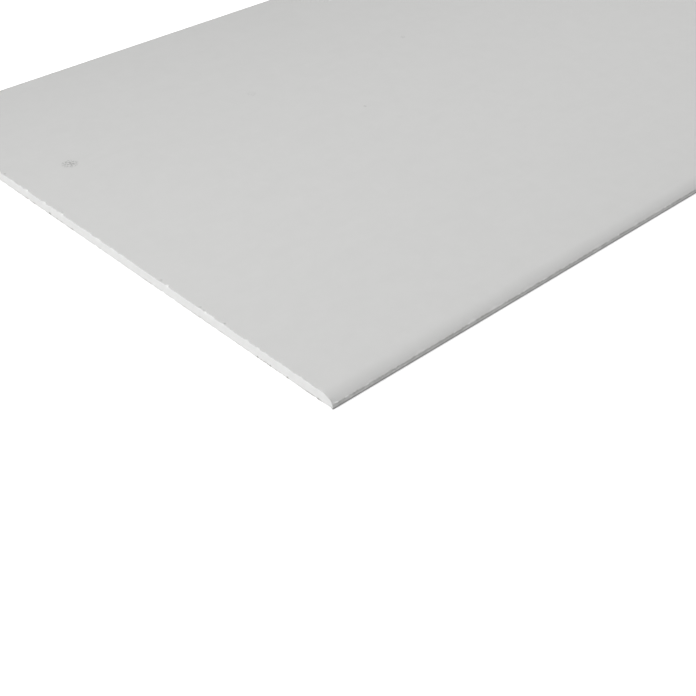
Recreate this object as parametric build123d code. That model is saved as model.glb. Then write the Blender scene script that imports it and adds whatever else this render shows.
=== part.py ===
from build123d import *

import os

# A sheet of gypsum plasterboard, lying on its back, in millimetres.
# X runs along the sheet, Y across it and Z up. The origin is the middle of its underside.

# The sheet
length = 2000.0
width = 600.0
thickness = 9.5

# The paper liners
face_paper_thickness = 0.35
back_paper_thickness = 0.3
lap_width = 30.0  # how far the face paper is folded in over the back of the core
back_paper_setback = 12.0  # from the long edge to the edge of the back paper

# The rounded long edge, measured on the outside of the paper
edge_height = 4.6  # from the underside to the crest, where the rounding ends
rounding_run = 12.0  # how far in from the long edge the rounding starts
crest_radius = 0.8
fold_radius = 0.6  # where the paper turns from the edge onto the back

half_width = width / 2


def long_edge(side):
    """The outside of one long edge, towards +Y or -Y: a plumb wall and the rounding above it."""
    foot = (side * half_width, 0)
    crest = (side * half_width, edge_height)
    shoulder = (side * (half_width - rounding_run), thickness)
    return [
        Line(foot, crest),
        TangentArc(shoulder, crest, tangent=(side, 0)),
    ]


def back_paper_section():
    """The back paper's section, a flat strip level with the outer part of both laps."""
    strip_width = width - 2 * back_paper_setback
    return Rectangle(strip_width, back_paper_thickness, align=(Align.CENTER, Align.MIN))


def wrapped_section():
    """The section across the sheet of all that the outside of the face paper encloses.

    The laps step up at the back paper's edges and go on over it."""
    face_half_width = half_width - rounding_run
    face = Line((-face_half_width, thickness), (face_half_width, thickness))
    back = Line((-half_width, 0), (half_width, 0))
    section = make_face([face, back, *long_edge(1), *long_edge(-1)])

    crests = section.vertices().group_by(Axis.Y)[1]
    section = fillet(crests, crest_radius)
    folds = section.vertices().group_by(Axis.Y)[0]
    return fillet(folds, fold_radius) - back_paper_section()


def core_section(wrapped):
    """The gypsum's section: inside the paper all round, and down to the back paper between the two laps."""
    inside_paper = offset(wrapped, -face_paper_thickness)
    between_laps = Rectangle(width - 2 * lap_width, face_paper_thickness, align=(Align.CENTER, Align.MIN))
    return inside_paper + Pos(0, back_paper_thickness) * between_laps


def full_length(section):
    """A section across the sheet, run out to both cut ends."""
    return extrude(Plane.YZ * section, amount=length / 2, both=True)


wrapped = wrapped_section()
core = core_section(wrapped)
nodes = {
    "gypsum_core": full_length(core),
    "face_paper": full_length(wrapped - core),
    "back_paper": full_length(back_paper_section()),
}

os.makedirs("parts", exist_ok=True)
for name, piece in nodes.items():
    piece.label = name
    export_step(piece, f"parts/{name}.step")
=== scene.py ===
import math
import random

import bmesh
import bpy
from mathutils import Matrix, Vector, noise


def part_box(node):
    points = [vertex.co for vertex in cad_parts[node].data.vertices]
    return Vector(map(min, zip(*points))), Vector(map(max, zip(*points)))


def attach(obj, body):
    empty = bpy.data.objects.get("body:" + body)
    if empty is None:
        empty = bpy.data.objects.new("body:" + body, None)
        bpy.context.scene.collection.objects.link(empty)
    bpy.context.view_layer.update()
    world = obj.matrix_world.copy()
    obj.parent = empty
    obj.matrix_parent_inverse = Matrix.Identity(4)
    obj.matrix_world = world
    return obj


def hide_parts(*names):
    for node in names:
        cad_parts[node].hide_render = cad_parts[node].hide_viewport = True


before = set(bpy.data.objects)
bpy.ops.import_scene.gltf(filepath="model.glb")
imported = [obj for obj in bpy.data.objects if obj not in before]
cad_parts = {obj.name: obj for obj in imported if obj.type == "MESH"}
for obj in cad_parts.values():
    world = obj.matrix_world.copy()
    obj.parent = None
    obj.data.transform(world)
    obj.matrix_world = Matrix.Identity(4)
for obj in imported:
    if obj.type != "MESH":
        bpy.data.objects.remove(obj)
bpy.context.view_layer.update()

# The sheet, in metres, from the frame
core_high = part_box("gypsum_core")[1]
face_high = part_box("face_paper")[1]
back_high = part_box("back_paper")[1]
HALF_LENGTH = face_high.x
HALF_WIDTH = face_high.y
THICKNESS = face_high.z
CORE_TOP = core_high.z
FACE_PAPER = THICKNESS - CORE_TOP
BACK_PAPER = back_high.z
BACK_HALF_WIDTH = back_high.y
BACK_SETBACK = HALF_WIDTH - BACK_HALF_WIDTH

# The long edge and the lap, at the part's sizes
EDGE_HEIGHT = 0.0046
ROUNDING_RUN = 0.012
CREST_RADIUS = 0.0008
FOLD_RADIUS = 0.0006
LAP_WIDTH = 0.030

# The two cut ends, towards -X and +X, and the two long edges, towards -Y and +Y
ENDS = (-1, 1)
SIDES = (-1, 1)

# How finely the meshes are divided across the sheet
FINE_STEP = 0.0006
COARSE_STEP = 0.048
COARSE_EVERY = round(COARSE_STEP / FINE_STEP)
LAP_POINTS = (0.020, 0.004)  # one on the lap's part over the back paper, and one on its level part
LAP_STEP = 0.00002  # half the run of the core's step at the lap's inner end
FOLD_STEPS = 6
WALL_STEPS = 7
CREST_STEPS = 4
ROUNDING_STEPS = 14
CORE_ROWS = 16

# How finely they are divided along it
STATION_STEP = 0.010
INSIDE_EVERY = 12  # the inside of the face paper has one row for so many of the outside's
BACK_PARTS = 20  # that the back paper's length is divided into
DENT_STATIONS = (-1.0, -0.6, -0.25, 0.25, 0.6, 1.0)  # as shares of a dent's reach along the sheet
LEAST_STEP = 0.0004
LEAST_STEP_TO_ENDS = 0.0005
SHARP_ANGLE = math.radians(50)

# The cut ends, as distances in from their planes
END_INSETS = (0.0, 0.00015, 0.0006, 0.0012, 0.0022, 0.0036, 0.006)
FINE_DEPTH = END_INSETS[-1] + 1e-6
LEAST_RECESS = 0.00002
SAW_RECESS = 0.0002
FRAY_RECESS = 0.0003
FRAY_FADE = 0.003  # over which the fraying fades out towards a long edge
BACK_ADVANCE = 0.00025  # taken off the waves of the back paper, so that much of its edge is whole

# Waves of the torn papers and of the sawn gypsum: depth, size and layer of noise
FRAY_WAVES = ((0.0011, 0.0075, 3), (0.0007, 0.0034, 4), (0.0001, 0.0014, 5))
BACK_WAVES = ((0.0019, 0.0045, 19), (0.0005, 0.0016, 23))
SAW_WAVES = ((0.00006, 0.03, 7), (0.00007, 0.0045, 11), (0.0001, 0.0014, 13))
PIT_WAVES = ((1.0, 0.0026, 17),)
PIT_LEVEL = 0.42
PIT_DEPTH = 0.0006

# How far above its foot or below its top each kind of damage and of painted light reaches on the gypsum
CRUMBLE_HEIGHT = 0.001
RUBBED_HEIGHT = 0.003
NICK_HEIGHT = 0.0014
FRESH_HIGHLIGHT_HEIGHT = 0.002
SPECK_SHADE_HEIGHT = 0.001

# How strongly a speck paints shade on the gypsum, and how deep a nick is that leaves it wholly fresh,
# with painted highlight
SPECK_SHADE_STRENGTH = 1.5
FRESH_HIGHLIGHT_DEPTH = 0.001

# Damage of the near end: across it from the near long edge, then reach, and depth or a speck's strength
NICK_PLACES = (0.144, 0.192, 0.342, 0.398)
NICK = (0.002, 0.0013)
# a speck holds the back paper out and paints shade on the gypsum above it
SPECK_PLACES = (0.0155, 0.0485, 0.0675, 0.082, 0.327, 0.351)
SPECK = (0.0017, 1.0)
LARGE_SPECK_PLACE = 0.3625
LARGE_SPECK = (0.0022, 1.6)

# Creases in the face, dented and darkened with painted shade: in from the near end, and across from the
# near long edge
CREASE_PLACES = (
    (0.0021, 0.3436),
    (0.0018, 0.2016),
    (0.0014, 0.151),
    (0.0016, 0.1215),
    (0.0015, 0.437),
)
CREASE_REACH = 0.0019
CREASE_RATIO = 0.6  # a crease's reach in from the end over its reach across
CREASE_DEPTH = 0.00026
LEVEL_NORMAL = 0.9  # the face is where the paper's normal points up by more than this

# Dents in the near long edge: along it from the near end, and height
DENT_PLACES = ((0.0142, 0.0031), (0.037, 0.0046), (0.264, 0.0046), (0.350, 0.0046), (0.386, 0.0046))
DENT_REACH = 0.0024
DENT_DEPTH = 0.00028
DENT_STRETCH = 2.0

# Small dents in both long edges, each value drawn between two
SMALL_DENTS = 40
SMALL_DENT_HEIGHTS = (0.003, 0.0056)
SMALL_DENT_REACHES = (0.0012, 0.0036)
SMALL_DENT_DEPTHS = (0.0001, 0.00028)

# The near corner of the crest, where it is crushed inward and down
CRUSH_HEIGHT = 0.0056
CRUSH_REACH = 0.0045
CRUSH_DEPTH = 0.0011

# Dust on the papers, from 0 to 1
CUT_EDGE_DUST = 0.15
DUSTY_NORMAL = 0.3  # the cut edge is dusty where the paper's normal points up by more than this
MOST_DENT_DUST = 0.6
DUSTY_DENT_DEPTH = 0.0004  # of a dent that would be dusty all over

# Faint marks on the face: along from the near end, across from the near long edge, size and strength
FACE_MARKS = (
    (0.0545, 0.4127, 0.0085, 1.0),
    (0.2685, 0.412, 0.006, 0.25),
    (0.481, 0.409, 0.0035, 0.6),
    (0.3325, 0.314, 0.002, 1.0),
)
MARK_GRAIN = 0.0016
MARK_SHADE = 0.5
# painted shade in the creases, as a share of the face's colour
PAINTED_CREASE_SHADE = 0.75

# Colours
FACE_COLOUR = (0.62, 0.62, 0.613)
FACE_FLECK = (0.5, 0.49, 0.46)
BACK_COLOUR = (0.45, 0.43, 0.40)
BACK_FLECK = (0.25, 0.23, 0.2)
DUST = (0.84, 0.84, 0.83)
WHITE_SCUFF = (0.9, 0.9, 0.89)
# dark scuffs, and painted shade under the crest of the long edges
DARK_SCUFF_AND_SHADE = (0.42, 0.415, 0.4)
# painted shade at the foot of the long edges' walls
FOOT_SHADE = (0.12, 0.117, 0.112)
# painted contact shadow in the fold under the walls
FOLD_CONTACT_SHADOW = (0.03, 0.029, 0.028)
GYPSUM_COLOURS = ((0.84, 0.84, 0.834), (0.92, 0.92, 0.914))
# painted shade inside the gypsum's pores
GYPSUM_PORE_SHADE = (0.6, 0.6, 0.58)
# freshly broken gypsum, whitened further as a painted highlight
GYPSUM_FRESH_HIGHLIGHT = (0.97, 0.97, 0.965)
# painted shade at the dark specks by the foot of the cut ends
GYPSUM_SPECK_SHADE = (0.34, 0.335, 0.325)
FLOOR_COLOUR = (0.8, 0.8, 0.8, 1.0)
BACKDROP_COLOUR = (1.0, 1.0, 1.0, 1.0)

# The values that a noise texture mostly has, and the size of the patches of dust and of painted speck shade
NOISE_RANGE = (0.3, 0.7)
WEAR_AND_SHADE_PATCH = 0.002

# Wear and painted shade in bands along the wall: height and reach, size of the patches, the noise where a
# patch begins and where it is full, how strong a full patch is, and its colour
EDGE_BANDS = (
    (0.0022, 0.0030, 0.0050, 0.40, 0.60, 0.40, DUST),
    (0.0022, 0.0030, 0.0056, 0.45, 0.65, 0.15, DARK_SCUFF_AND_SHADE),
    (0.0022, 0.0011, 0.0030, 0.51, 0.59, 0.80, WHITE_SCUFF),
    # painted shade under the crest
    (0.0038, 0.0009, 0.0061, 0.35, 0.50, 0.45, DARK_SCUFF_AND_SHADE),
    (0.0045, 0.0007, 0.0033, 0.56, 0.61, 0.90, WHITE_SCUFF),
    (0.0045, 0.0007, 0.0036, 0.55, 0.60, 0.80, DARK_SCUFF_AND_SHADE),
    # painted shade at the foot of the wall, and painted contact shadow in its fold
    (0.0000, 0.0013, 0.0040, 0.10, 0.50, 0.90, FOOT_SHADE),
    (0.0000, 0.0010, 0.0043, 0.10, 0.50, 1.00, FOLD_CONTACT_SHADOW),
)
BAND_FADE = 0.0005
WALL_FADE = (0.0012, 0.0003)  # in from the long edge, where the bands begin and where they are full

# Camera, matched to the photograph's vanishing points
IMAGE_PX = 696
FOCAL_PX = 1229.2
SENSOR_MM = 36.0
CLIP_START = 0.01
VIEW_AZIMUTH = math.radians(46.79)
VIEW_DIP = math.radians(36.95)
NEAR_CORNER_PX = (333.1, 409.9)
NEAR_CORNER_DEPTH = 0.855

# Light, as the share of its own colour that a level white surface shows by it
FILL_LEVEL = 0.25
STRIP_LEVEL = 1.52
STRIP_PLACE = Vector((-0.42, -0.085, 1.2))
STRIP_SIZE = (4.5, 0.75)
FRONT_LEVEL = 0.32
FRONT_PLACE = Vector((-2.67, -0.12, 1.28))
FRONT_AIM = Vector((-0.9, -0.05, 0.0))
FRONT_SIZE = (1.2, 1.2)

# The floor, with its own glow near the sheet and far off, and from where to where the glow changes
FLOOR_REACH = 12.0
FLOOR_HEIGHT = -0.0002
NEAR_FLOOR_LIFT = 0.52
FAR_FLOOR_LIFT = 0.8
FLOOR_SWEEP = (1.15, 2.6)

SEED = 7
draw = random.Random(SEED)


def ripple(u, v, size, layer=0.0):
    """Smooth noise from -1 to 1 with bumps of about that size, the same on every run."""
    return noise.noise(Vector((u / size, v / size, layer)))


def waves(kinds, y, z, end):
    """The sum of some kinds of ripple on a cut end, each with a depth, a size and a layer."""
    return sum(depth * ripple(y, z, size, layer * end) for depth, size, layer in kinds)


def bump_at(distance, reach):
    """1 in the middle of a dent, chip or tear, falling smoothly to 0 at its reach."""
    t = abs(distance) / reach
    return 0.0 if t >= 1 else (1 - t * t) ** 2


def by_level(z, level, reach):
    """1 at a level, falling evenly to 0 at its reach above or below it."""
    return max(0.0, 1 - abs(z - level) / reach)


def spaced(start, end, steps):
    """Values evenly spaced from start to end, both included."""
    return [start + (end - start) * i / steps for i in range(steps + 1)]


# Section of the wrapped edge


def on_arc(inset, height, radius, angle):
    """A point of a profile on an arc round a middle, given as a distance in and a height.

    A point is its distance in from the long edge, its height, and its normal, outward and up."""
    out = math.cos(angle)
    up = math.sin(angle)
    return (inset - radius * out, height + radius * up, out, up)


def underside_profile():
    """The outside of the paper from the lap's inner end, down its step and round the fold to the wall."""
    on_back_paper, on_level = LAP_POINTS
    raised = [(inset, BACK_PAPER, 0.0, -1.0) for inset in (LAP_WIDTH, on_back_paper, BACK_SETBACK)]
    level = [(BACK_SETBACK, 0.0, -1.0, -1.0), (on_level, 0.0, 0.0, -1.0)]
    turn = spaced(-math.pi / 2, 0, FOLD_STEPS)
    fold = [on_arc(FOLD_RADIUS, FOLD_RADIUS, FOLD_RADIUS, angle) for angle in turn]
    return raised + level + fold


def rounded_profile():
    """The outside of the paper from the top of the wall, round the crest and up to the shoulder."""
    drop = THICKNESS - EDGE_HEIGHT
    radius = (ROUNDING_RUN**2 + drop**2) / (2 * drop)
    middle = THICKNESS - radius
    crest_reach = radius - CREST_RADIUS
    crest_middle = middle + math.sqrt(crest_reach**2 - (ROUNDING_RUN - CREST_RADIUS) ** 2)
    crest_turn = math.asin((crest_middle - middle) / crest_reach)
    small_turn = spaced(0, crest_turn, CREST_STEPS)
    large_turn = spaced(crest_turn, math.pi / 2, ROUNDING_STEPS)[1:]
    crest = [on_arc(CREST_RADIUS, crest_middle, CREST_RADIUS, angle) for angle in small_turn]
    rounding = [on_arc(ROUNDING_RUN, middle, radius, angle) for angle in large_turn]
    return crest + rounding


def edge_profile():
    """The outside of one long edge, from the lap's inner end to the shoulder."""
    underside = underside_profile()
    rounded = rounded_profile()
    heights = spaced(underside[-1][1], rounded[0][1], WALL_STEPS)[1:-1]
    wall = [(0.0, height, 1.0, 0.0) for height in heights]
    return underside + wall + rounded


def face_path():
    """The outside of the face paper, from one lap's end across the face to the other's.

    Each point is y, z and its normal's y and z. Also the numbers that rows away from the cut ends keep."""
    near = [(inset - HALF_WIDTH, height, -out, up) for inset, height, out, up in edge_profile()]
    far = [(-y, z, -aside, up) for y, z, aside, up in reversed(near)]
    flat_half = HALF_WIDTH - ROUNDING_RUN
    count = round(2 * flat_half / FINE_STEP)
    flat = [(flat_half * (2 * i / count - 1), THICKNESS, 0.0, 1.0) for i in range(1, count)]
    path = near + flat + far
    far_start = len(near) + len(flat)
    kept_flat = range(len(near) + COARSE_EVERY - 1, far_start, COARSE_EVERY)
    kept = {*range(len(near)), *kept_flat, *range(far_start, len(path))}
    return path, kept


# Damage at the cut ends and long edges


def chips(count, reaches, depths):
    """Places across the sheet with a reach and a depth each, drawn at random."""
    return [
        (draw.uniform(-HALF_WIDTH, HALF_WIDTH), draw.uniform(*reaches), draw.uniform(*depths))
        for _ in range(count)
    ]


nicked = {end: chips(7, reaches=(0.0009, 0.0015), depths=(0.0002, 0.0005)) for end in ENDS}
nicked[-1] += [(place - HALF_WIDTH, *NICK) for place in NICK_PLACES]
crumbled = {end: chips(36, reaches=(0.0008, 0.0025), depths=(0.0001, 0.0006)) for end in ENDS}
specks = {end: chips(9, reaches=(0.0009, 0.0016), depths=(0.3, 0.7)) for end in ENDS}
specks[-1] += [(place - HALF_WIDTH, *SPECK) for place in SPECK_PLACES]
specks[-1].append((LARGE_SPECK_PLACE - HALF_WIDTH, *LARGE_SPECK))


def damage(y, chips_there):
    """How deep the deepest chip is at y, or how strong the strongest speck."""
    return max((depth * bump_at(y - place, reach) for place, reach, depth in chips_there), default=0.0)


def frayed(y, z, end):
    """How far in from the cut end's plane the face paper has frayed. At the long edges it is whole."""
    ragged = FRAY_RECESS + waves(FRAY_WAVES, y, z, end)
    return max(0.0, ragged) * min(1.0, (HALF_WIDTH - abs(y)) / FRAY_FADE)


def paper_tear(y, z, end):
    """How far in from the cut end's plane the face paper's edge is."""
    return frayed(y, z, end) + damage(y, nicked[end])


def back_tear(y, end):
    """How far in from the cut end's plane the back paper's edge is. A speck holds it out."""
    ragged = waves(BACK_WAVES, y, 0.0, end) - BACK_ADVANCE
    return max(LEAST_RECESS, ragged * (1 - damage(y, specks[end])))


def saw_face(y, z, top, end):
    """How far in from the cut end's plane the gypsum is, at a height below its top."""
    rough = waves(SAW_WAVES, y, z, end)
    pit = PIT_DEPTH * max(0.0, waves(PIT_WAVES, y, z, end) - PIT_LEVEL)
    undercut = max(0.0, back_tear(y, end) - SAW_RECESS)
    crumble = (damage(y, crumbled[end]) + undercut) * by_level(z, BACK_PAPER, CRUMBLE_HEIGHT)
    rubbed = max(0.0, frayed(y, top, end) - SAW_RECESS) * by_level(z, top, RUBBED_HEIGHT)
    nick = damage(y, nicked[end]) * by_level(z, top, NICK_HEIGHT)
    return max(LEAST_RECESS, SAW_RECESS + rough + pit + crumble + rubbed + nick)


def speck_shade_at(y, z, top, end):
    """Painted speck shade on the sawn gypsum, up to 1 at its foot, and down to -1 for a fresh break's
    painted highlight.
    """
    shaded = SPECK_SHADE_STRENGTH * damage(y, specks[end]) - (z - BACK_PAPER) / SPECK_SHADE_HEIGHT
    fresh_highlight = damage(y, nicked[end]) / FRESH_HIGHLIGHT_DEPTH * by_level(z, top, FRESH_HIGHLIGHT_HEIGHT)
    return min(1.0, max(0.0, shaded)) - min(1.0, fresh_highlight)


def crease_at(x, y):
    """Depth of the small creases in the face beside the near end."""
    depth = 0.0
    for along, across in CREASE_PLACES:
        away = math.hypot(x + HALF_LENGTH - along, (y + HALF_WIDTH - across) * CREASE_RATIO)
        depth = max(depth, CREASE_DEPTH * bump_at(away, CREASE_REACH))
    return depth


def edge_dents():
    """Dents in the long edges: along, side, height, reach and depth."""
    dents = [(along - HALF_LENGTH, -1, height, DENT_REACH, DENT_DEPTH) for along, height in DENT_PLACES]
    for side in SIDES:
        for _ in range(SMALL_DENTS):
            along = draw.uniform(-HALF_LENGTH, HALF_LENGTH)
            height = draw.uniform(*SMALL_DENT_HEIGHTS)
            reach = draw.uniform(*SMALL_DENT_REACHES)
            depth = draw.uniform(*SMALL_DENT_DEPTHS)
            dents.append((along, side, height, reach, depth))
    return dents


dents = edge_dents()


def dent_at(x, y, z):
    """Depth of the dents at a point of the outside."""
    depth = 0.0
    for along, side, height, reach, deep in dents:
        if abs(x - along) < reach * DENT_STRETCH and y * side > 0:
            away = math.hypot((x - along) / DENT_STRETCH, HALF_WIDTH - abs(y), z - height)
            depth = max(depth, deep * bump_at(away, reach))
    return depth


def crushed(point):
    """A point of any piece, moved in and down with the crushed near corner."""
    x, y, z = point
    away = math.hypot(x + HALF_LENGTH, y + HALF_WIDTH, z - CRUSH_HEIGHT)
    push = CRUSH_DEPTH * math.sqrt(0.5) * bump_at(away, CRUSH_REACH)
    return (x, y + push, z - push)


def end_of(x):
    """The cut end on x's side of the middle."""
    return 1 if x > 0 else -1


def from_end(x):
    """How far x is from the plane of the nearer cut end."""
    return HALF_LENGTH - abs(x)


def fading(x, inset_at_end):
    """x moved in by inset_at_end at the nearer cut end, and less further from it."""
    return x - end_of(x) * inset_at_end * max(0.0, 1 - from_end(x) / END_INSETS[-1])


def dust_at(x, at_cut, sunk=0.0):
    """How dusty a point of the papers is, from 0 to 1: at_cut right at the cut edge, and some in a dent."""
    by_cut = max(0.0, at_cut) * max(0.0, 1 - from_end(x) / END_INSETS[1])
    return max(by_cut, min(MOST_DENT_DUST, sunk / DUSTY_DENT_DEPTH))


# Meshes


class Shell:
    """A closed mesh made row by row. A row gives the vertex at each of some numbered places."""

    def __init__(self):
        self.points = []
        self.wear_and_painted_light = []  # of the papers how dusty, of the gypsum its painted speck shade, or below 0 its fresh painted highlight
        self.faces = []

    def row(self, places):
        """A new row. places gives, for each number, a point and its wear and painted light."""
        made = {}
        for number, (point, wear_and_painted_light) in places.items():
            made[number] = len(self.points)
            self.points.append(crushed(point))
            self.wear_and_painted_light.append(wear_and_painted_light)
        return made

    def stitch(self, a, b):
        """Faces between two rows, each from one number that both have to the next one."""
        numbers_a, numbers_b = sorted(a), sorted(b)
        shared = [n for n in numbers_a if n in b]
        at_a = {n: i for i, n in enumerate(numbers_a)}
        at_b = {n: i for i, n in enumerate(numbers_b)}
        for first, last in zip(shared, shared[1:]):
            side_a = [a[n] for n in numbers_a[at_a[first] : at_a[last] + 1]]
            side_b = [b[n] for n in numbers_b[at_b[first] : at_b[last] + 1]]
            self.faces.append(side_a + side_b[::-1])

    def stitch_all(self, rows):
        """Faces between each of some rows and the next."""
        for a, b in zip(rows, rows[1:]):
            self.stitch(a, b)

    def piece(self, name, node, material):
        """The mesh as a piece that stands for a CAD node."""
        mesh = bpy.data.meshes.new(name)
        mesh.from_pydata(self.points, [], self.faces)
        wear_and_painted_light = mesh.attributes.new("wear_and_painted_light", "FLOAT", "POINT")
        wear_and_painted_light.data.foreach_set("value", self.wear_and_painted_light)
        work = bmesh.new()
        work.from_mesh(mesh)
        bmesh.ops.recalc_face_normals(work, faces=work.faces)
        work.to_mesh(mesh)
        work.free()
        mesh.polygons.foreach_set("use_smooth", [True] * len(mesh.polygons))
        mesh.set_sharp_from_angle(angle=SHARP_ANGLE)
        mesh.materials.append(material)
        made = bpy.data.objects.new(name, mesh)
        bpy.context.scene.collection.objects.link(made)
        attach(made, "root")
        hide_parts(node)
        return made


def across_rows(rows, number):
    """The vertices at one number of some rows, as a row of their own numbered as the rows are."""
    return {i: row[number] for i, row in rows.items()}


def end_stations():
    """Places along the sheet for the fine rows at both cut ends."""
    near = [inset - HALF_LENGTH for inset in END_INSETS]
    return near, [-x for x in reversed(near)]


def plain_stations(count):
    """Places that divide the sheet's length into so many parts, without its two ends."""
    return [2 * HALF_LENGTH * i / count - HALF_LENGTH for i in range(1, count)]


def face_stations():
    """Places along the sheet for all rows of the face paper, close together at the ends and the dents."""
    near, far = end_stations()
    between = plain_stations(round(2 * HALF_LENGTH / STATION_STEP))
    for along, _, _, reach, _ in dents:
        between += [along + reach * DENT_STRETCH * share for share in DENT_STATIONS]
    low, high = near[-1] + LEAST_STEP_TO_ENDS, far[0] - LEAST_STEP_TO_ENDS
    clear = [x for x in sorted(between) if low < x < high]
    apart = [clear[0]]
    for x in clear:
        if x - apart[-1] > LEAST_STEP:
            apart.append(x)
    return near + apart + far


def face_liner(material):
    """The face paper: its outside with dents and torn edges, and its inside against the gypsum."""
    path, kept = face_path()
    stations = face_stations()
    tears = {end: [paper_tear(y, z, end) for y, z, _, _ in path] for end in ENDS}
    shell = Shell()

    def places(x, depth, dented):
        """The places of one row at x, at that depth below the outside."""
        fine = from_end(x) < FINE_DEPTH
        found = {}
        for i, (y, z, out, up) in enumerate(path):
            if not fine and i not in kept:
                continue
            dent = dent_at(x, y, z) if dented else 0.0
            crease = crease_at(x, y) if dented and fine and up > LEVEL_NORMAL else 0.0
            at = depth + dent + crease
            at_cut = CUT_EDGE_DUST if up > DUSTY_NORMAL else 0.0
            point = (fading(x, tears[end_of(x)][i]), y - out * at, z - up * at)
            found[i] = (point, dust_at(x, at_cut, dent))
        return found

    outside = {i: shell.row(places(x, 0.0, True)) for i, x in enumerate(stations)}
    inside = {
        i: shell.row(places(x, FACE_PAPER, False))
        for i, x in enumerate(stations)
        if i % INSIDE_EVERY == 0 or from_end(x) < FINE_DEPTH
    }
    shell.stitch_all(list(outside.values()))
    shell.stitch_all(list(inside.values()))
    for cut_end in (0, len(stations) - 1):
        shell.stitch(outside[cut_end], inside[cut_end])
    for lap_end in (0, len(path) - 1):
        shell.stitch(across_rows(outside, lap_end), across_rows(inside, lap_end))
    return shell.piece("face_liner", "face_paper", material)


def core_bottom(inset):
    """Height of the core's underside at a distance in from the long edge."""
    over_lap = BACK_PAPER + FACE_PAPER
    if inset > LAP_WIDTH:
        return BACK_PAPER
    if inset >= BACK_SETBACK:
        return over_lap
    if inset > BACK_SETBACK - FACE_PAPER:
        return over_lap - BACK_PAPER * (BACK_SETBACK - inset) / FACE_PAPER
    inner_radius = FOLD_RADIUS - FACE_PAPER
    round_the_fold = max(0.0, FOLD_RADIUS - inset)
    return FOLD_RADIUS - math.sqrt(max(0.0, inner_radius**2 - round_the_fold**2))


def core_columns():
    """Places across the core with its bottom and top there, from one long edge to the other."""
    edge = []
    for inset, height, out, up in rounded_profile():
        inside = inset + out * FACE_PAPER
        edge.append((inside - HALF_WIDTH, core_bottom(inside), height - up * FACE_PAPER))

    count = round(2 * (HALF_WIDTH - ROUNDING_RUN) / FINE_STEP)
    insets = [ROUNDING_RUN + FINE_STEP * i for i in range(1, count)]
    for inset in (LAP_WIDTH - LAP_STEP, LAP_WIDTH + LAP_STEP):
        insets += [inset, 2 * HALF_WIDTH - inset]
    flat = []
    for inset in sorted(insets):
        flat.append((inset - HALF_WIDTH, core_bottom(min(inset, 2 * HALF_WIDTH - inset)), CORE_TOP))
    return edge + flat + [(-y, low, high) for y, low, high in reversed(edge)]


def gypsum(material):
    """The core: two sawn ends of rough gypsum, and plain sides under the papers."""
    columns = core_columns()
    last_column = len(columns) - 1
    near, far = end_stations()
    shell = Shell()

    def grid(x):
        """For each row of the section, from its bottom to its top, the places across it."""
        end = end_of(x)
        found = []
        for row in range(CORE_ROWS + 1):
            places = {}
            for i, (y, low, high) in enumerate(columns):
                z = low + (high - low) * row / CORE_ROWS
                point = (fading(x, saw_face(y, z, high, end)), y, z)
                places[i] = (point, speck_shade_at(y, z, high, end))
            found.append(places)
        return found

    def sawn_end(x):
        """A cut end, closed by faces."""
        made = [shell.row(places) for places in grid(x)]
        shell.stitch_all(made)
        return dict(enumerate(made))

    def outline(x):
        """The core's outline at x: its bottom and top rows, and the ends of the rows between."""
        places = grid(x)
        made = {row: shell.row(places[row]) for row in (0, CORE_ROWS)}
        for row in range(1, CORE_ROWS):
            made[row] = shell.row({i: places[row][i] for i in (0, last_column)})
        return made

    ends = [sawn_end(x) for x in (near[0], far[-1])]
    between = [outline(x) for x in near[2::2] + far[:-1:2]]
    sections = [ends[0], *between, ends[1]]
    for row in (0, CORE_ROWS):
        shell.stitch_all([section[row] for section in sections])
    for column in (0, last_column):
        shell.stitch_all([across_rows(section, column) for section in sections])
    return shell.piece("core", "gypsum_core", material)


def back_liner(material):
    """The back paper: a flat strip with ragged ends."""
    near, far = end_stations()
    stations = near + plain_stations(BACK_PARTS) + far
    count = round(2 * BACK_HALF_WIDTH / FINE_STEP)
    across = [BACK_HALF_WIDTH * (2 * i / count - 1) for i in range(count + 1)]
    tears = {end: [back_tear(y, end) for y in across] for end in ENDS}
    shell = Shell()

    def places(x, z):
        """The places of one row at x, on the under or the upper side."""
        end = end_of(x)
        every = 1 if from_end(x) < FINE_DEPTH else COARSE_EVERY
        found = {}
        for i in range(0, count + 1, every):
            dust = dust_at(x, at_cut=1 - damage(across[i], specks[end]))
            found[i] = ((fading(x, tears[end][i]), across[i], z), dust)
        return found

    under = {i: shell.row(places(x, 0.0)) for i, x in enumerate(stations)}
    upper = {i: shell.row(places(x, BACK_PAPER)) for i, x in enumerate(stations)}
    for layer in (under, upper):
        shell.stitch_all(list(layer.values()))
    for cut_end in (0, len(stations) - 1):
        shell.stitch(under[cut_end], upper[cut_end])
    for edge in (0, count):
        shell.stitch(across_rows(under, edge), across_rows(upper, edge))
    return shell.piece("back_liner", "back_paper", material)


# Materials


def add_node(tree, kind, inputs=None, **settings):
    """A shader node. An input that is a socket is linked, and any other is a value."""
    made = tree.nodes.new(kind)
    for name, value in settings.items():
        setattr(made, name, value)
    for name, value in (inputs or {}).items():
        if isinstance(value, bpy.types.NodeSocket):
            tree.links.new(value, made.inputs[name])
        else:
            made.inputs[name].default_value = value
    return made


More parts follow.
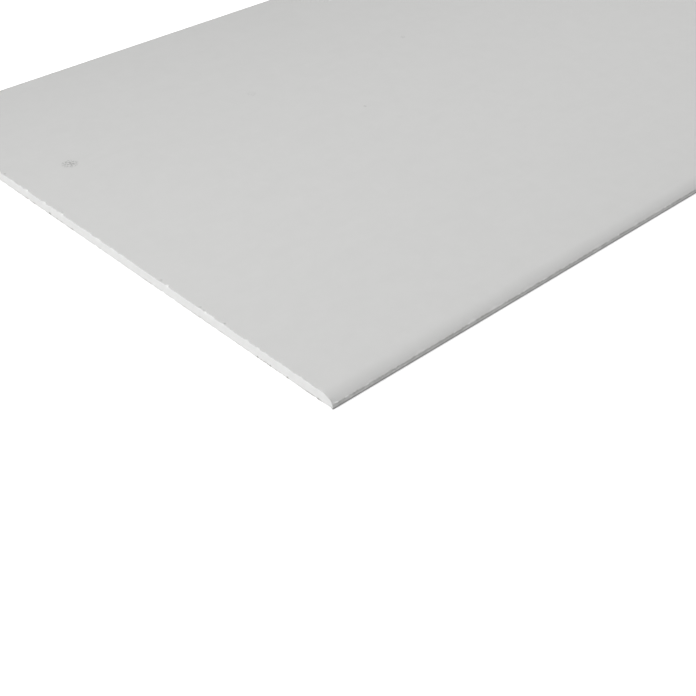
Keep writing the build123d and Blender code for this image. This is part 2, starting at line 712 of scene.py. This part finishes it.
class Finish:
    """A material with one principled shader, built up from a few kinds of pattern."""

    def __init__(self, name, roughness, specular):
        self.material = bpy.data.materials.new(name)
        self.material.use_nodes = True
        self.tree = self.material.node_tree
        self.shader = self.tree.nodes["Principled BSDF"]
        self.shader.inputs["Roughness"].default_value = roughness
        self.shader.inputs["Specular IOR Level"].default_value = specular
        self.place = add_node(self.tree, "ShaderNodeTexCoord").outputs["Object"]

    def vector_math(self, operation, a, b):
        """The node of a sum on vectors."""
        return add_node(self.tree, "ShaderNodeVectorMath", {0: a, 1: b}, operation=operation)

    def stretched(self, factors):
        """The place on the object, for a pattern longer by one over each factor."""
        return self.vector_math("MULTIPLY", self.place, factors).outputs[0] if factors else self.place

    def noise(self, size, detail=3.0, roughness=0.5, stretch=None, distortion=0.0):
        """Noise from 0 to 1 with features of about that size in metres."""
        values = {
            "Vector": self.stretched(stretch),
            "Scale": 1 / size,
            "Detail": detail,
            "Roughness": roughness,
            "Distortion": distortion,
        }
        return add_node(self.tree, "ShaderNodeTexNoise", values).outputs[0]

    def cells(self, size, stretch=None):
        """Distance from the nearest of points about that far apart, and a random colour for each."""
        values = {"Vector": self.stretched(stretch), "Scale": 1 / size}
        made = add_node(self.tree, "ShaderNodeTexVoronoi", values)
        return made.outputs["Distance"], made.outputs["Color"]

    def ramp(self, value, low, high, to_low=0.0, to_high=1.0):
        """value carried from low..high to to_low..to_high, held at both ends."""
        values = {0: value, 1: low, 2: high, 3: to_low, 4: to_high}
        return add_node(self.tree, "ShaderNodeMapRange", values).outputs[0]

    def spread(self, pattern, least, most):
        """A noise from 0 to 1, carried to least..most."""
        return self.ramp(pattern, *NOISE_RANGE, least, most)

    def math(self, operation, a, b):
        """A sum on two values."""
        return add_node(self.tree, "ShaderNodeMath", {0: a, 1: b}, operation=operation).outputs[0]

    def blend(self, *patterns):
        """Patterns added up, each with its own share."""
        total = 0.0
        for pattern, share in patterns:
            total = self.math("ADD", total, self.spread(pattern, 0.0, share))
        return total

    def mix(self, share, a, b):
        """Colour a turning to colour b as share goes from 0 to 1."""
        made = add_node(self.tree, "ShaderNodeMix", {0: share}, data_type="RGBA")
        for socket, value in ((made.inputs[6], a), (made.inputs[7], b)):
            if isinstance(value, bpy.types.NodeSocket):
                self.tree.links.new(value, socket)
            else:
                socket.default_value = (*value, 1.0)
        return made.outputs[2]

    def wear_and_painted_light(self):
        """The wear and painted light that the mesh carries at each of its points."""
        return add_node(self.tree, "ShaderNodeAttribute", attribute_name="wear_and_painted_light").outputs["Fac"]

    def worn_and_shaded(self, colour, least, over):
        """colour turning patchily to over, at least by that share, where the wear, or on the gypsum the
        painted speck shade, is above 0.
        """
        patchy = self.ramp(self.noise(WEAR_AND_SHADE_PATCH), 0.3, 0.6, least, 1.0)
        share = self.math("MULTIPLY", self.ramp(self.wear_and_painted_light(), 0.0, 1.0), patchy)
        return self.mix(share, colour, over)

    def within(self, value, middle, reach):
        """1 where value is near middle, falling to 0 over the last part of its reach."""
        away = self.math("ABSOLUTE", self.math("SUBTRACT", value, middle), 0.0)
        return self.ramp(away, reach - BAND_FADE, reach, 1.0, 0.0)

    def banded_wear_and_shade(self, colour):
        """colour with wear and painted shade in bands along the walls of the long edges."""
        parts = add_node(self.tree, "ShaderNodeSeparateXYZ", {"Vector": self.place})
        across = self.math("ABSOLUTE", parts.outputs["Y"], 0.0)
        begin, full = WALL_FADE
        wall = self.ramp(across, HALF_WIDTH - begin, HALF_WIDTH - full)
        for middle, reach, size, least, most, strength, over in EDGE_BANDS:
            band = self.math("MULTIPLY", wall, self.within(parts.outputs["Z"], middle, reach))
            patchy = self.ramp(self.noise(size, roughness=0.6), least, most, 0.0, strength)
            colour = self.mix(self.math("MULTIPLY", band, patchy), colour, over)
        return colour

    def near(self, along, across, inner, reach):
        """1 inside a distance of a place on the face, falling to 0 at its reach.

        The place is given from the near end and the near long edge."""
        centre = (along - HALF_LENGTH, across - HALF_WIDTH, THICKNESS)
        away = self.vector_math("DISTANCE", self.place, centre)
        return self.ramp(away.outputs["Value"], inner, reach, 1.0, 0.0)

    def bump(self, height, distance, strength, before=None):
        """The normal over a relief of that height, on top of an earlier one."""
        values = {"Height": height, "Distance": distance, "Strength": strength}
        if before:
            values["Normal"] = before
        return add_node(self.tree, "ShaderNodeBump", values).outputs[0]

    def show(self, colour, rough, normal):
        """The material, with these three linked to its shader."""
        self.tree.links.new(colour, self.shader.inputs["Base Color"])
        self.tree.links.new(rough, self.shader.inputs["Roughness"])
        self.tree.links.new(normal, self.shader.inputs["Normal"])
        return self.material


def shade(colour, factor):
    """A lighter or darker colour."""
    return tuple(channel * factor for channel in colour)


def paper(name, base, mottle, fleck, fleck_share):
    """Liner paper: cloudy fibre, faint lines along the web, and small flecks.

    Gives the finish, its colour, and the patterns of its clouds and fibres."""
    finish = Finish(name, roughness=0.85, specular=0.25)
    cloud = finish.noise(0.016, detail=4.0, roughness=0.6)
    web = finish.noise(0.006, detail=2.0, stretch=(0.03, 1.0, 1.0))
    fibre = finish.noise(0.0005, roughness=0.6, stretch=(0.35, 1.0, 1.0), distortion=0.6)
    tone = finish.blend((cloud, 0.5), (fibre, 0.35), (web, 0.15))
    colour = finish.mix(tone, shade(base, 1 - mottle), shade(base, 1 + mottle))

    distance, chance = finish.cells(0.0035, stretch=(0.6, 1.0, 1.0))
    picked = finish.ramp(chance, 1 - fleck_share, 1 - fleck_share + 0.02)
    spot = finish.ramp(distance, 0.05, 0.12, 1.0, 0.0)
    colour = finish.mix(finish.math("MULTIPLY", picked, spot), colour, fleck)
    return finish, colour, cloud, fibre


def face_paper_finish():
    """The face paper, with a few faint marks, painted shade in its creases, and wear and painted shade
    along its long edges.
    """
    finish, colour, cloud, fibre = paper("face_liner", FACE_COLOUR, 0.02, FACE_FLECK, fleck_share=0.05)
    for along, across, size, strength in FACE_MARKS:
        speckled = finish.ramp(finish.noise(MARK_GRAIN, detail=2.0), 0.5, 0.58, 0.0, strength)
        near = finish.near(along, across, inner=size / 2, reach=size)
        colour = finish.mix(finish.math("MULTIPLY", near, speckled), colour, shade(FACE_COLOUR, MARK_SHADE))
    # painted shade in the creases
    for along, across in CREASE_PLACES:
        near = finish.near(along, across, inner=CREASE_REACH * 0.3, reach=CREASE_REACH * 0.7)
        colour = finish.mix(near, colour, shade(FACE_COLOUR, PAINTED_CREASE_SHADE))
    colour = finish.worn_and_shaded(finish.banded_wear_and_shade(colour), 0.45, DUST)
    clouds = finish.bump(cloud, distance=0.0001, strength=0.15)
    fibres = finish.bump(fibre, distance=0.00004, strength=0.35, before=clouds)
    return finish.show(colour, finish.spread(fibre, 0.8, 0.92), fibres)


def back_paper_finish():
    """The back paper, browner, with more flecks and a coarser surface."""
    finish, colour, cloud, fibre = paper("back_liner", BACK_COLOUR, 0.07, BACK_FLECK, fleck_share=0.2)
    colour = finish.worn_and_shaded(colour, 0.75, DUST)
    clouds = finish.bump(cloud, distance=0.00015, strength=0.25)
    fibres = finish.bump(fibre, distance=0.00006, strength=0.5, before=clouds)
    return finish.show(colour, finish.spread(fibre, 0.84, 0.95), fibres)


def gypsum_finish():
    """Set gypsum where it is sawn: white, chalky, with painted shade in its fine pores and at specks by its
    foot, whiter where freshly broken, with painted highlight.
    """
    finish = Finish("gypsum", roughness=0.95, specular=0.2)
    cloud = finish.noise(0.008, detail=4.0, roughness=0.6)
    grain = finish.noise(0.0006, roughness=0.7)
    colour = finish.mix(finish.blend((cloud, 0.5), (grain, 0.5)), *GYPSUM_COLOURS)
    distance, chance = finish.cells(0.0012)
    pore = finish.ramp(distance, 0.1, 0.22, 1.0, 0.0)
    open_pore = finish.math("MULTIPLY", pore, finish.ramp(chance, 0.7, 0.75))
    # the pores darkened with painted shade
    colour = finish.mix(finish.math("MULTIPLY", open_pore, 0.6), colour, GYPSUM_PORE_SHADE)
    # freshly broken gypsum at the nicks, whitened as a painted highlight
    fresh_highlight = finish.ramp(finish.wear_and_painted_light(), -1.0, 0.0, 1.0, 0.0)
    # painted shade at the specks by the foot
    colour = finish.worn_and_shaded(finish.mix(fresh_highlight, colour, GYPSUM_FRESH_HIGHLIGHT), 0.65, GYPSUM_SPECK_SHADE)
    relief = finish.bump(finish.math("SUBTRACT", grain, open_pore), distance=0.00015, strength=0.5)
    return finish.show(colour, finish.spread(grain, 0.9, 1.0), relief)


# Camera, light and floor


def place_camera():
    """The camera, placed so that the near bottom corner falls on its pixel."""
    level = math.cos(VIEW_DIP)
    forward = Vector((level * math.cos(VIEW_AZIMUTH), level * math.sin(VIEW_AZIMUTH), -math.sin(VIEW_DIP)))
    right = forward.cross(Vector((0, 0, 1))).normalized()
    up = right.cross(forward)
    aside = (NEAR_CORNER_PX[0] - IMAGE_PX / 2) / FOCAL_PX
    below = (NEAR_CORNER_PX[1] - IMAGE_PX / 2) / FOCAL_PX
    ray = forward + right * aside - up * below
    corner = Vector((-HALF_LENGTH, -HALF_WIDTH, 0.0))
    camera = bpy.data.objects.new("camera", bpy.data.cameras.new("camera"))
    camera.data.sensor_width = SENSOR_MM
    camera.data.lens = SENSOR_MM * FOCAL_PX / IMAGE_PX
    camera.data.clip_start = CLIP_START
    turn = Matrix((right, up, -forward)).transposed()
    camera.matrix_world = Matrix.Translation(corner - ray * NEAR_CORNER_DEPTH) @ turn.to_4x4()
    bpy.context.scene.collection.objects.link(camera)
    bpy.context.scene.camera = camera


def seen_ray(tree):
    """1 for rays that show the background: the camera's, and those by way of gloss or glass."""
    path = add_node(tree, "ShaderNodeLightPath")
    seen = path.outputs["Is Camera Ray"]
    for kind in ("Is Glossy Ray", "Is Transmission Ray"):
        either = add_node(tree, "ShaderNodeMath", {0: seen, 1: path.outputs[kind]}, operation="MAXIMUM")
        seen = either.outputs[0]
    return seen


def hang_lamp(name, place, aim, size, level):
    """A soft lamp, as bright at its aim as a small one of that level would be."""
    lamp = bpy.data.lights.new(name, "AREA")
    lamp.shape = "RECTANGLE"
    lamp.size, lamp.size_y = size
    lamp.energy = level * math.pi**2 * (place - aim).length_squared
    hung = bpy.data.objects.new(name, lamp)
    hung.location = place
    hung.rotation_euler = (aim - place).to_track_quat("-Z", "Y").to_euler()
    bpy.context.scene.collection.objects.link(hung)


def light_the_studio():
    """An even fill from all round, a long soft lamp over the sheet and another before its near end."""
    world = bpy.data.worlds.new("studio")
    world.use_nodes = True
    bpy.context.scene.world = world
    tree = world.node_tree
    backdrop = tree.nodes["Background"]
    backdrop.inputs["Color"].default_value = BACKDROP_COLOUR
    strength = add_node(tree, "ShaderNodeMapRange", {0: seen_ray(tree), 3: FILL_LEVEL, 4: 1.0})
    tree.links.new(strength.outputs[0], backdrop.inputs["Strength"])

    straight_down = Vector((STRIP_PLACE.x, STRIP_PLACE.y, 0.0))
    hang_lamp("strip", STRIP_PLACE, straight_down, STRIP_SIZE, STRIP_LEVEL)
    hang_lamp("front", FRONT_PLACE, FRONT_AIM, FRONT_SIZE, FRONT_LEVEL)


def floor_finish():
    """Matte white that keeps the sheet's shadow, with a glow that makes it the backdrop's white far off."""
    material = bpy.data.materials.new("floor")
    material.use_nodes = True
    tree = material.node_tree
    tree.nodes.remove(tree.nodes["Principled BSDF"])
    matte = add_node(tree, "ShaderNodeBsdfDiffuse", {"Color": FLOOR_COLOUR})
    place = add_node(tree, "ShaderNodeTexCoord").outputs["Object"]
    away = add_node(tree, "ShaderNodeVectorMath", {0: place}, operation="LENGTH").outputs["Value"]
    sweep = {0: away, 1: FLOOR_SWEEP[0], 2: FLOOR_SWEEP[1], 3: NEAR_FLOOR_LIFT, 4: FAR_FLOOR_LIFT}
    level = add_node(tree, "ShaderNodeMapRange", sweep).outputs[0]
    lift = add_node(tree, "ShaderNodeMath", {0: seen_ray(tree), 1: level}, operation="MULTIPLY")
    glow = add_node(tree, "ShaderNodeEmission", {"Strength": lift.outputs[0]})
    both = add_node(tree, "ShaderNodeAddShader", {0: matte.outputs[0], 1: glow.outputs[0]})
    tree.links.new(both.outputs[0], tree.nodes["Material Output"].inputs["Surface"])
    return material


def lay_floor():
    """A plain floor just under the sheet."""
    mesh = bpy.data.meshes.new("floor")
    square = ((-1, -1), (1, -1), (1, 1), (-1, 1))
    corners = [(x * FLOOR_REACH, y * FLOOR_REACH, FLOOR_HEIGHT) for x, y in square]
    mesh.from_pydata(corners, [], [(0, 1, 2, 3)])
    mesh.materials.append(floor_finish())
    floor = bpy.data.objects.new("floor", mesh)
    bpy.context.scene.collection.objects.link(floor)


gypsum(gypsum_finish())
face_liner(face_paper_finish())
back_liner(back_paper_finish())
place_camera()
light_the_studio()
lay_floor()
bpy.context.scene.view_settings.view_transform = "Standard"
